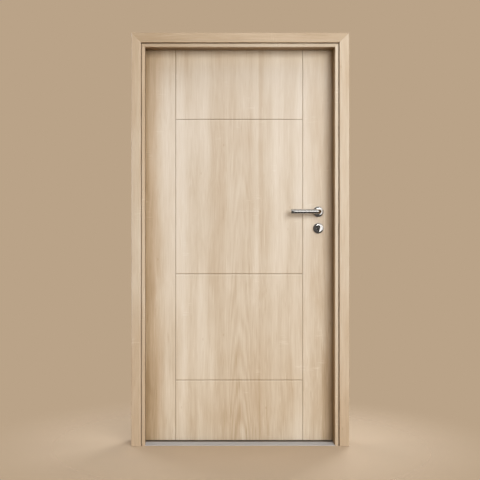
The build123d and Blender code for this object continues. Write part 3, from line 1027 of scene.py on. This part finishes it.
def keyway(angle):
    """Distance from the plug's middle to the nearer of the sides and the ends of its upright keyway."""
    to_side = keyway_half_width / np.maximum(np.abs(np.cos(angle)), tiny)
    to_end = keyway_half_height / np.maximum(np.abs(np.sin(angle)), tiny)
    return np.minimum(to_side, to_end)


print("cylinder radius", round(plug_radius, 4), "with its round top at z", round(plug_z, 4))

# %% Holed discs
rim_round, dome_fall, hole_lip = 0.0026, 0.0016, 0.0006
plug_face_radius, plug_sink, plug_depth, plug_bevel = 0.0064, 0.0001, -0.0004, 0.0003


def holed_disc(x, z, surface, out, hole, radius, profile):
    """A ring from a hole's outline to a round rim; profile rows are (share outwards, inset, height)."""
    angle = np.linspace(0, 2 * math.pi, 96, endpoint=False)
    inner = hole(angle)
    share, inset, height = (column[:, None] for column in np.array(profile).T)
    ring = inner + share * (radius - inner) + inset
    y = np.broadcast_to(surface + out * height, ring.shape)
    return [(np.stack([x + ring * np.cos(angle), y, z + ring * np.sin(angle)], axis=-1), True, True)]


def rose_profile(depth):
    """An upright rim, a quarter round, a dome that falls as the share squared, and the hole's side."""
    turn = np.linspace(0, math.pi / 2, 9)
    rim = [(1, -rim_round * (1 - np.cos(t)), depth - dome_fall - rim_round * (1 - np.sin(t))) for t in turn]
    shares = (0.9, 0.8, 0.65, 0.5, 0.35, 0.2, 0.1)
    dome = [(s, -rim_round * s**2, depth - dome_fall * s**2) for s in shares]
    return [(1, 0, 0), *rim, *dome, (0, hole_lip, depth), (0, 0, depth - hole_lip), (0, 0, 0)]


plug_profile = [
    (1, 0, plug_depth),
    (1, -plug_bevel, 0),
    (0, plug_bevel, 0),
    (0, 0, -plug_bevel),
    (0, 0, plug_depth),
]
rose = rose_profile(rose_depth)
for side, surface, cylinder_end, out in (
    ("front", leaf_front, plug_low[1], -1),
    ("back", leaf_back, plug_high[1], 1),
):
    cap = holed_disc(handle_x, handle_z, surface, out, lever_bore, rose_radius, rose)
    piece(side + "_lever_cap", cap, polished_steel, "leaf", [side + "_lever_rose"])
    cap = holed_disc(handle_x, key_z, surface, out, keyhole, rose_radius, rose)
    piece(side + "_key_cap", cap, polished_steel, "leaf", [side + "_key_rose"])
    plug_end = cylinder_end - out * plug_sink
    plug = holed_disc(handle_x, plug_z, plug_end, out, keyway, plug_face_radius, plug_profile)
    piece(side + "_plug_face", plug, lock_nickel, "leaf")

# %% [markdown]
# ## Hinge pins, screws and bolt holes
# The pins end in low domed caps. Every plate is held by countersunk screws with a cross recess. A screw
# head is a height over a square grid that is bent to a disc, so the cross follows grid lines and stays
# clean, and a flat sheet behind it closes it. All screws of one plate are one piece. The strike plate's
# two bolt holes are lined with thin nearly black trays, a painted shade, so they read as deep holes.

# %% Shape of a hinge pin
pin_low, pin_high = limits("low_hinge_pin")
hinge_x, hinge_y = (pin_low[0] + pin_high[0]) / 2, (pin_low[1] + pin_high[1]) / 2
cap_radius = (pin_high[0] - pin_low[0]) / 2
dome_height, cap_height, shaft_radius, shaft_from = 0.0014, 0.0029, 0.003, 0.01


def turned_pin(low, high):
    """A pin turned about its axis: radius over height, with a domed cap at both ends."""
    turn = np.linspace(0, math.pi / 2, 7)
    dome = np.stack([cap_radius * np.sin(turn), dome_height * (1 - np.cos(turn))], axis=-1)
    shaft = [(cap_radius, cap_height), (shaft_radius, cap_height), (shaft_radius, shaft_from)]
    lower = np.concatenate([dome, shaft])
    radius = np.concatenate([lower[:, 0], lower[::-1, 0]])[:, None]
    angle = np.linspace(0, 2 * math.pi, 32, endpoint=False)
    x, y = hinge_x + radius * np.cos(angle), hinge_y + radius * np.sin(angle)
    z = np.concatenate([low + lower[:, 1], high - lower[::-1, 1]])[:, None]
    return [(np.stack([x, y, np.broadcast_to(z, x.shape)], axis=-1), True, False)]


print("hinge axis", round(hinge_x, 4), round(hinge_y, 4))

# %% Pins and screw heads
screw_radius, head_height, recess_height, head_edge = 0.0036, 0.0006, 0.0001, -0.0002
half_head = np.array([0.13, 0.17, 0.4, 0.62, 0.85, 1])
head_lines = np.concatenate([-half_head[::-1], [0], half_head])
cross_half, cross_reach, flat_reach = 0.15, 0.63, 0.9
plate_half, plate_inset, plate_stagger = 0.0025, 0.015, 0.007
plate_rows = np.array([0.016, 0.038, 0.062, 0.084])
end_inset = 0.01


def screw_head(x, y, z, out):
    """A screw head along x and its back: a square grid bent to a disc, low in the cross and at the rim."""
    a, b = np.meshgrid(head_lines, head_lines, indexing="ij")
    flat_y, flat_z = a * np.sqrt(1 - b**2 / 2), b * np.sqrt(1 - a**2 / 2)
    near, far = np.minimum(np.abs(a), np.abs(b)), np.maximum(np.abs(a), np.abs(b))
    cross = (near < cross_half) & (far < cross_reach)
    height = np.where(cross, recess_height, np.where(far > flat_reach, head_edge, head_height))
    across = [y + screw_radius * flat_y, z + screw_radius * flat_z]
    sheets = (height, np.full_like(height, head_edge))
    return [(np.stack([x + out * sheet, *across], axis=-1), False, False) for sheet in sheets]


for hinge in hinges:
    pin_low, pin_high = limits(hinge + "_hinge_pin")
    pin = turned_pin(pin_low[2], pin_high[2])
    piece(hinge + "_domed_pin", pin, satin_nickel, "frame", [hinge + "_hinge_pin"])
    for body, out in (("frame", 1), ("leaf", -1)):
        plate_low, plate_high = limits(hinge + "_hinge_" + body + "_plate")
        heads = []
        for row, height in enumerate(plate_low[2] + plate_rows):
            screw_y = leaf_back - plate_inset + plate_stagger * (-1) ** row
            heads += screw_head(hinge_x - out * plate_half, screw_y, height, out)
        piece(hinge + "_" + body + "_plate_screws", heads, satin_nickel, body)
strike_low, strike_high = limits("strike_plate")
lock_low, lock_high = limits("lock_front_plate")
for name, body, x, ends, out in (
    ("strike_plate_screws", "frame", strike_low[0], (strike_low[2], strike_high[2]), -1),
    ("lock_plate_screws", "leaf", lock_high[0], (lock_low[2], lock_high[2]), 1),
):
    heads = screw_head(x, leaf_middle, ends[0] + end_inset, out)
    heads += screw_head(x, leaf_middle, ends[1] - end_inset, out)
    piece(name, heads, satin_nickel, body)

# %% Painted-shade trays in the bolt holes
bolt_room, tray_lip, tray_floor, tray_back = 0.0018, 0.0006, 0.0031, 0.0033
tray_lines = np.array([-1, -0.97, -0.5, 0, 0.5, 0.97, 1])


def bolt_shade_tray(low, high, x):
    """A thin tray of painted shade inside a bolt hole: a grid over the bolt and its room with a lifted rim,
    and its back.
    """
    middle, half = (low + high) / 2, (high - low) / 2 + bolt_room
    a, b = np.meshgrid(tray_lines, tray_lines, indexing="ij")
    rim = np.maximum(np.abs(a), np.abs(b)) == 1
    across = [middle[1] + half[1] * a, middle[2] + half[2] * b]
    sheets = [np.where(rim, x + tray_lip, x + depth) for depth in (tray_floor, tray_back)]
    return [(np.stack([sheet, *across], axis=-1), False, False) for sheet in sheets]


shade_trays = []
for bolt in ("latch_bolt", "dead_bolt"):
    bolt_low, bolt_high = limits(bolt)
    shade_trays += bolt_shade_tray(bolt_low, bolt_high, strike_low[0])
piece("strike_bolt_shade_trays", shade_trays, shade_inside, "frame")

# %% [markdown]
# ## Camera
# The photograph was taken square on from a good distance, from a little left of the door's middle, so the
# right reveal shows more than the left. The lens shift frames the door without turning the camera, which
# keeps every upright upright.

# %% Camera
image_width, sensor_width = 480, 36
focal_pixels, centre_column, centre_row = 939.67, 187.745, 232.1
camera_place = (0.2543, -4.7815, 1.0717)
camera_data = bpy.data.cameras.new("door_camera")
camera_data.sensor_width = sensor_width
camera_data.lens = focal_pixels * sensor_width / image_width
camera_data.shift_x = (image_width / 2 - centre_column) / image_width
camera_data.shift_y = (centre_row - image_width / 2) / image_width
camera = bpy.data.objects.new("door_camera", camera_data)
camera.location = camera_place
camera.rotation_euler = (math.pi / 2, 0, 0)
scene.collection.objects.link(camera)
scene.camera = camera
print("lens and shifts", np.round([camera_data.lens, camera_data.shift_x, camera_data.shift_y], 4))

# %% [markdown]
# ## Floor and background
# The door stands on a plain pale floor that fades into an even background. The floor is a large sheet
# that turns clear away from the door. To the camera, and in mirrors, it does so within a step of the
# door, where it has shown the door's shadow. For all other light it reaches further, so that it still
# lights the door from below. The world shows the plain background, and gives off a little warm light.

# %% Floor
background = paint(186, 163, 136)
floor_size, floor_lines, floor_drop = 9.0, 25, 0.0005
fade_start, fade_end = 1.2, 3.6
seen_start, seen_end = 0.30, 1.45


def stage_sheet(name, points):
    """A grid of points as a mesh that isn't part of the door."""
    mesh = bpy.data.meshes.new(name)
    mesh.from_pydata(points.reshape(-1, 3), [], grid_faces(*points.shape[:2], False, False))
    made = bpy.data.objects.new(name, mesh)
    scene.collection.objects.link(made)
    return made


def seen_directly(tree):
    """1 for what the camera sees, also in a mirror or through glass, and 0 for other light."""
    rays = tree.nodes.new("ShaderNodeLightPath").outputs
    seen = calc(tree, "MAXIMUM", rays["Is Camera Ray"], rays["Is Glossy Ray"])
    return calc(tree, "MAXIMUM", seen, rays["Is Transmission Ray"])


def blended(tree, share, first, second, output):
    """Two shaders mixed by a share, put out as a surface."""
    made = tree.nodes.new("ShaderNodeMixShader")
    for socket, value in zip(made.inputs, (share, first.outputs[0], second.outputs[0])):
        tree.links.new(value, socket)
    tree.links.new(made.outputs[0], tree.nodes[output].inputs["Surface"])


floor_steps = np.linspace(-floor_size, floor_size, floor_lines)
floor_y, floor_x = np.meshgrid(floor_steps, floor_steps + opening_x, indexing="ij")
floor = stage_sheet("floor", np.stack([floor_x, floor_y, np.full_like(floor_x, -floor_drop)], axis=-1))
floor_finish, floor_tree, floor_shader, floor_place = finish_start("pale_floor")
floor_shader.inputs["Base Color"].default_value = paint(199, 178, 152)
floor_shader.inputs["Roughness"].default_value = 0.9
away = floor_tree.nodes.new("ShaderNodeVectorMath")
away.operation = "DISTANCE"
away.inputs[1].default_value = (opening_x, 0, 0)
floor_tree.links.new(floor_place, away.inputs[0])
seen_fade = step(floor_tree, away.outputs["Value"], seen_start, seen_end)
seen_fade = times(floor_tree, seen_fade, seen_directly(floor_tree))
fade = calc(floor_tree, "MAXIMUM", seen_fade, step(floor_tree, away.outputs["Value"], fade_start, fade_end))
clear = floor_tree.nodes.new("ShaderNodeBsdfTransparent")
blended(floor_tree, fade, floor_shader, clear, "Material Output")
floor.data.materials.append(floor_finish)
print("floor fades from", seen_start, "to", seen_end, "m")

# %% World
world = bpy.data.worlds.new("studio")
scene.world = world
world.use_nodes = True
sky = world.node_tree
ambient = sky.nodes["Background"]
ambient.inputs["Color"].default_value = paint(255, 208, 150)
ambient.inputs["Strength"].default_value = 0.09
plain = sky.nodes.new("ShaderNodeBackground")
plain.inputs["Color"].default_value = background
blended(sky, seen_directly(sky), ambient, plain, "World Output")
print("ambient light", ambient.inputs["Strength"].default_value)

# %% [markdown]
# ## Lamps
# One large soft lamp before the door, a little to the right and above, gives most of the light. It shades
# the right reveal and the head, and it throws the lever's soft shadow down to the left. A weak warm fill
# and a weak top lamp soften that. Two lamps behind the door and one at each side light what the camera
# doesn't see, because a door is looked at from all sides. The side lamps stand just behind the front's
# plane, so they hardly reach it.

# %% Soft lamps
lamp_aim = np.array([0.55, 0.03, 1.1])
lamp_white, lamp_warm = (1.0, 0.995, 0.99), (1.0, 0.82, 0.62)


def soft_lamp(name, azimuth, elevation, distance, size, level, colour):
    """A square lamp turned to the door; level is its share of plain light on the side it stands before."""
    a, e = math.radians(azimuth), math.radians(elevation)
    towards = np.array([math.sin(a) * math.cos(e), -math.cos(a) * math.cos(e), math.sin(e)])
    data = bpy.data.lights.new(name, "AREA")
    data.size = size
    data.energy = level * math.pi**2 * distance**2 / max(abs(towards[0]), abs(towards[1]))
    data.color = colour
    lamp = bpy.data.objects.new(name, data)
    lamp.location = lamp_aim + distance * towards
    lamp.rotation_euler = (math.pi / 2 - e, 0, a)
    lamp.visible_camera = False
    scene.collection.objects.link(lamp)


lamps = [
    ("key_lamp", 18, 15, 8.0, 4.2, 0.73, lamp_white),
    ("fill_lamp", -30, 8, 7.0, 3.4, 0.03, lamp_warm),
    ("top_lamp", 12, 68, 5.0, 2.5, 0.11, lamp_white),
    ("back_key_lamp", 153, 26, 5.2, 2.2, 0.55, lamp_white),
    ("back_fill_lamp", 214, 18, 5.2, 2.4, 0.25, lamp_white),
    ("latch_side_lamp", 99, 10, 6.0, 3.0, 0.22, lamp_white),
    ("hinge_side_lamp", 261, 10, 6.0, 3.0, 0.22, lamp_white),
]
for row in lamps:
    soft_lamp(*row)
bpy.data.objects["key_lamp"].visible_glossy = False
print("lamps", [row[0] for row in lamps])

# %% [markdown]
# ## Mirror cards
# Polished steel only looks like steel if it has something dark and something bright to mirror, so cards
# that only mirrors see stand around the door. Before it there is a wide dark one. A bright one on it
# serves the lever's top. Two more, one on it and one beside it, serve the bright edges of the roses and
# the elbow. A pale card hangs over the door and a dark one lies on the floor. The back has a dark, a
# bright, a pale and a floor card of its own.

# %% Cards
card_y, card_left, card_lift = 5.3, -4.5, 0.01
card_front, on_dark_card = -card_y, -card_y + card_lift
card_width, bright_height = 9.5, (0, 0, 3.8)
card_white, card_pale, card_dark = paint(255, 253, 251), paint(236, 235, 233), paint(108, 105, 102)


def mirror_card(name, corner, width, up, colour, strength):
    """A flat card that only mirrors see: a corner, its width along x, its other side and a plain glow."""
    share = np.linspace(0, 1, 2)
    along = np.array([width, 0, 0])
    points = np.array(corner) + share[:, None, None] * np.array(up) + share[None, :, None] * along
    made = stage_sheet(name, points)
    made.visible_camera = made.visible_diffuse = made.visible_shadow = made.visible_transmission = False
    finish, tree, shader, _ = finish_start(name)
    shader.inputs["Base Color"].default_value = (0, 0, 0, 1)
    shader.inputs["Specular IOR Level"].default_value = 0
    shader.inputs["Emission Color"].default_value = colour
    shader.inputs["Emission Strength"].default_value = strength
    made.data.materials.append(finish)


cards = [
    ("dark_card", (card_left, card_front, -0.2), 7.9, (0, 0, 4.2), card_dark, 1.0),
    ("lever_bright_card", (1.10, on_dark_card, 1.38), 0.84, (0, 0, 1.10), card_white, 5.5),
    ("side_bright_card", (2.02, on_dark_card, 0.2), 1.05, bright_height, card_white, 2.2),
    ("far_bright_card", (3.4, on_dark_card, 0.2), 5.0, bright_height, card_white, 2.2),
    ("pale_ceiling_card", (card_left, card_front, 4.05), card_width, (0, card_y, 0), card_pale, 1.0),
    ("dark_floor_card", (card_left, card_front, 0.006), card_width, (0, card_y + 0.02, 0), card_dark, 0.7),
    ("back_dark_card", (card_left, card_y, -0.2), card_width, (0, 0, 1.5), card_dark, 1.0),
    ("back_bright_card", (card_left, card_y, 1.3), card_width, (0, 0, 2.7), card_white, 1.2),
    ("back_ceiling_card", (card_left, 0.0, 4.0), card_width, (0, card_y, 0), card_pale, 1.0),
    ("back_floor_card", (card_left, 0.15, 0.002), card_width, (0, card_y - 0.15, 0), card_dark, 1.0),
]
for row in cards:
    mirror_card(*row)
print("cards", [row[0] for row in cards])
